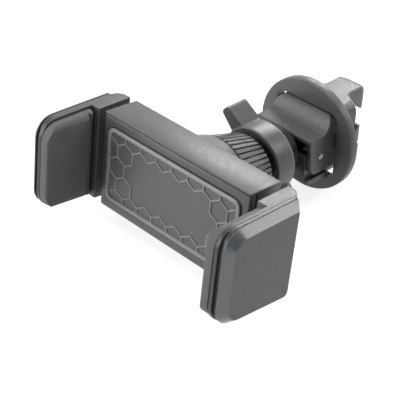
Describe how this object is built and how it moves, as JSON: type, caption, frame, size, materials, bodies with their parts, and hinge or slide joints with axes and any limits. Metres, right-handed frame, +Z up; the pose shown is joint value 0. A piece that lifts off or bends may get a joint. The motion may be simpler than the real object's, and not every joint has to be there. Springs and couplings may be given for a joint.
{
  "type": "air vent phone holder",
  "caption": "Spring-armed phone clamp with rack-and-pinion arms on a lockable ball joint, held to an air vent blade by a screw-closed hooked clip.",
  "frame": {"origin": "centre of the support ring's rear face, which rests on the vent", "axes": "+Y goes into the vent along the ball stud, +X towards the right arm, +Z up"},
  "size_m": [0.0742, 0.0924, 0.034],
  "materials": {
    "graphite_plastic": "fine matt",
    "panel_plastic": "matt",
    "pad_rubber": "soft matt",
    "inner_plastic": "smooth black",
    "zinc_steel": "zinc plated"
  },
  "bodies": {
    "vent_clip": {"ball_stud": "inner_plastic", "jaw_carrier": "inner_plastic", "support_ring": "graphite_plastic", "ring_screw_left": "zinc_steel", "ring_screw_right": "zinc_steel", "jaw_pin": "zinc_steel", "jaw_spring": "zinc_steel"},
    "thrust_sleeve": {"thrust_sleeve": "inner_plastic"},
    "wing_nut": {"wing_nut": "graphite_plastic"},
    "upper_jaw": {"upper_jaw": "graphite_plastic"},
    "lower_jaw": {"lower_jaw": "graphite_plastic"},
    "ball_seat": {"ball_seat": "inner_plastic"},
    "grip_ring": {"grip_ring": "inner_plastic"},
    "clamp_body": {"front_frame": "graphite_plastic", "front_panel": "panel_plastic", "rear_housing": "graphite_plastic", "housing_screw_1": "zinc_steel", "housing_screw_2": "zinc_steel", "housing_screw_3": "zinc_steel", "housing_screw_4": "zinc_steel", "pinion_pin": "zinc_steel", "left_return_spring": "zinc_steel", "right_return_spring": "zinc_steel"},
    "ball_nut": {"ball_nut": "graphite_plastic"},
    "pinion_gear": {"pinion_gear": "inner_plastic"},
    "left_arm": {"left_arm": "graphite_plastic", "left_cap": "panel_plastic", "left_pad": "pad_rubber"},
    "right_arm": {"right_arm": "graphite_plastic", "right_cap": "panel_plastic", "right_pad": "pad_rubber"}
  },
  "joints": [
    {"name": "sleeve_slide", "type": "slide", "parent": "vent_clip", "child": "thrust_sleeve", "axis": [0, 1, 0], "range_m": [0, 0.000666]},
    {"name": "wing_nut_spin", "type": "hinge", "parent": "thrust_sleeve", "child": "wing_nut", "pos_m": [0, -0.0353, 0], "axis": [0, 1, 0], "range_deg": [0, 240]},
    {"name": "upper_jaw_pivot", "type": "hinge", "parent": "vent_clip", "child": "upper_jaw", "pos_m": [0, -0.0079, -0.0005], "axis": [1, 0, 0], "range_deg": [-6.05, 0]},
    {"name": "lower_jaw_pivot", "type": "hinge", "parent": "vent_clip", "child": "lower_jaw", "pos_m": [0, -0.0079, -0.0005], "axis": [1, 0, 0], "range_deg": [0, 6.05]},
    {"name": "ball_pan", "type": "hinge", "parent": "vent_clip", "child": "ball_seat", "pos_m": [0, -0.0353, 0], "axis": [0, 0, 1], "range_deg": [-13, 13]},
    {"name": "ball_tilt", "type": "hinge", "parent": "ball_seat", "child": "grip_ring", "pos_m": [0, -0.0353, 0], "axis": [1, 0, 0], "range_deg": [-7.5, 18.5]},
    {"name": "ball_roll", "type": "hinge", "parent": "grip_ring", "child": "clamp_body", "pos_m": [0, -0.0353, 0], "axis": [0, 0.9954, -0.0958], "continuous": true},
    {"name": "ball_nut_spin", "type": "hinge", "parent": "clamp_body", "child": "ball_nut", "pos_m": [0, -0.0353, 0], "axis": [0, 0.9954, -0.0958], "range_deg": [-45, 270]},
    {"name": "right_arm_slide", "type": "slide", "parent": "clamp_body", "child": "right_arm", "axis": [1, 0, 0], "range_m": [-0.0019, 0.013], "stiffness_N_per_m": 60, "springref_m": -0.02, "deforming": ["right_return_spring"]},
    {"name": "left_arm_slide", "type": "slide", "parent": "clamp_body", "child": "left_arm", "axis": [-1, 0, 0], "range_m": [-0.0019, 0.013], "stiffness_N_per_m": 60, "springref_m": -0.02, "deforming": ["left_return_spring"]},
    {"name": "pinion_spin", "type": "hinge", "parent": "clamp_body", "child": "pinion_gear", "pos_m": [0, -0.05023, 0.00144], "axis": [0, 0.9954, -0.0958], "range_deg": [-166, 25]}
  ],
  "couplings": [
    {"joint": "wing_nut_spin", "follows": "sleeve_slide", "rad_per_m": 6283.2},
    {"joint": "upper_jaw_pivot", "follows": "sleeve_slide", "rad_per_m": -157.2},
    {"joint": "lower_jaw_pivot", "follows": "sleeve_slide", "rad_per_m": 157.2},
    {"joint": "left_arm_slide", "follows": "right_arm_slide", "ratio": 1},
    {"joint": "pinion_spin", "follows": "right_arm_slide", "rad_per_m": -222.22}
  ]
}
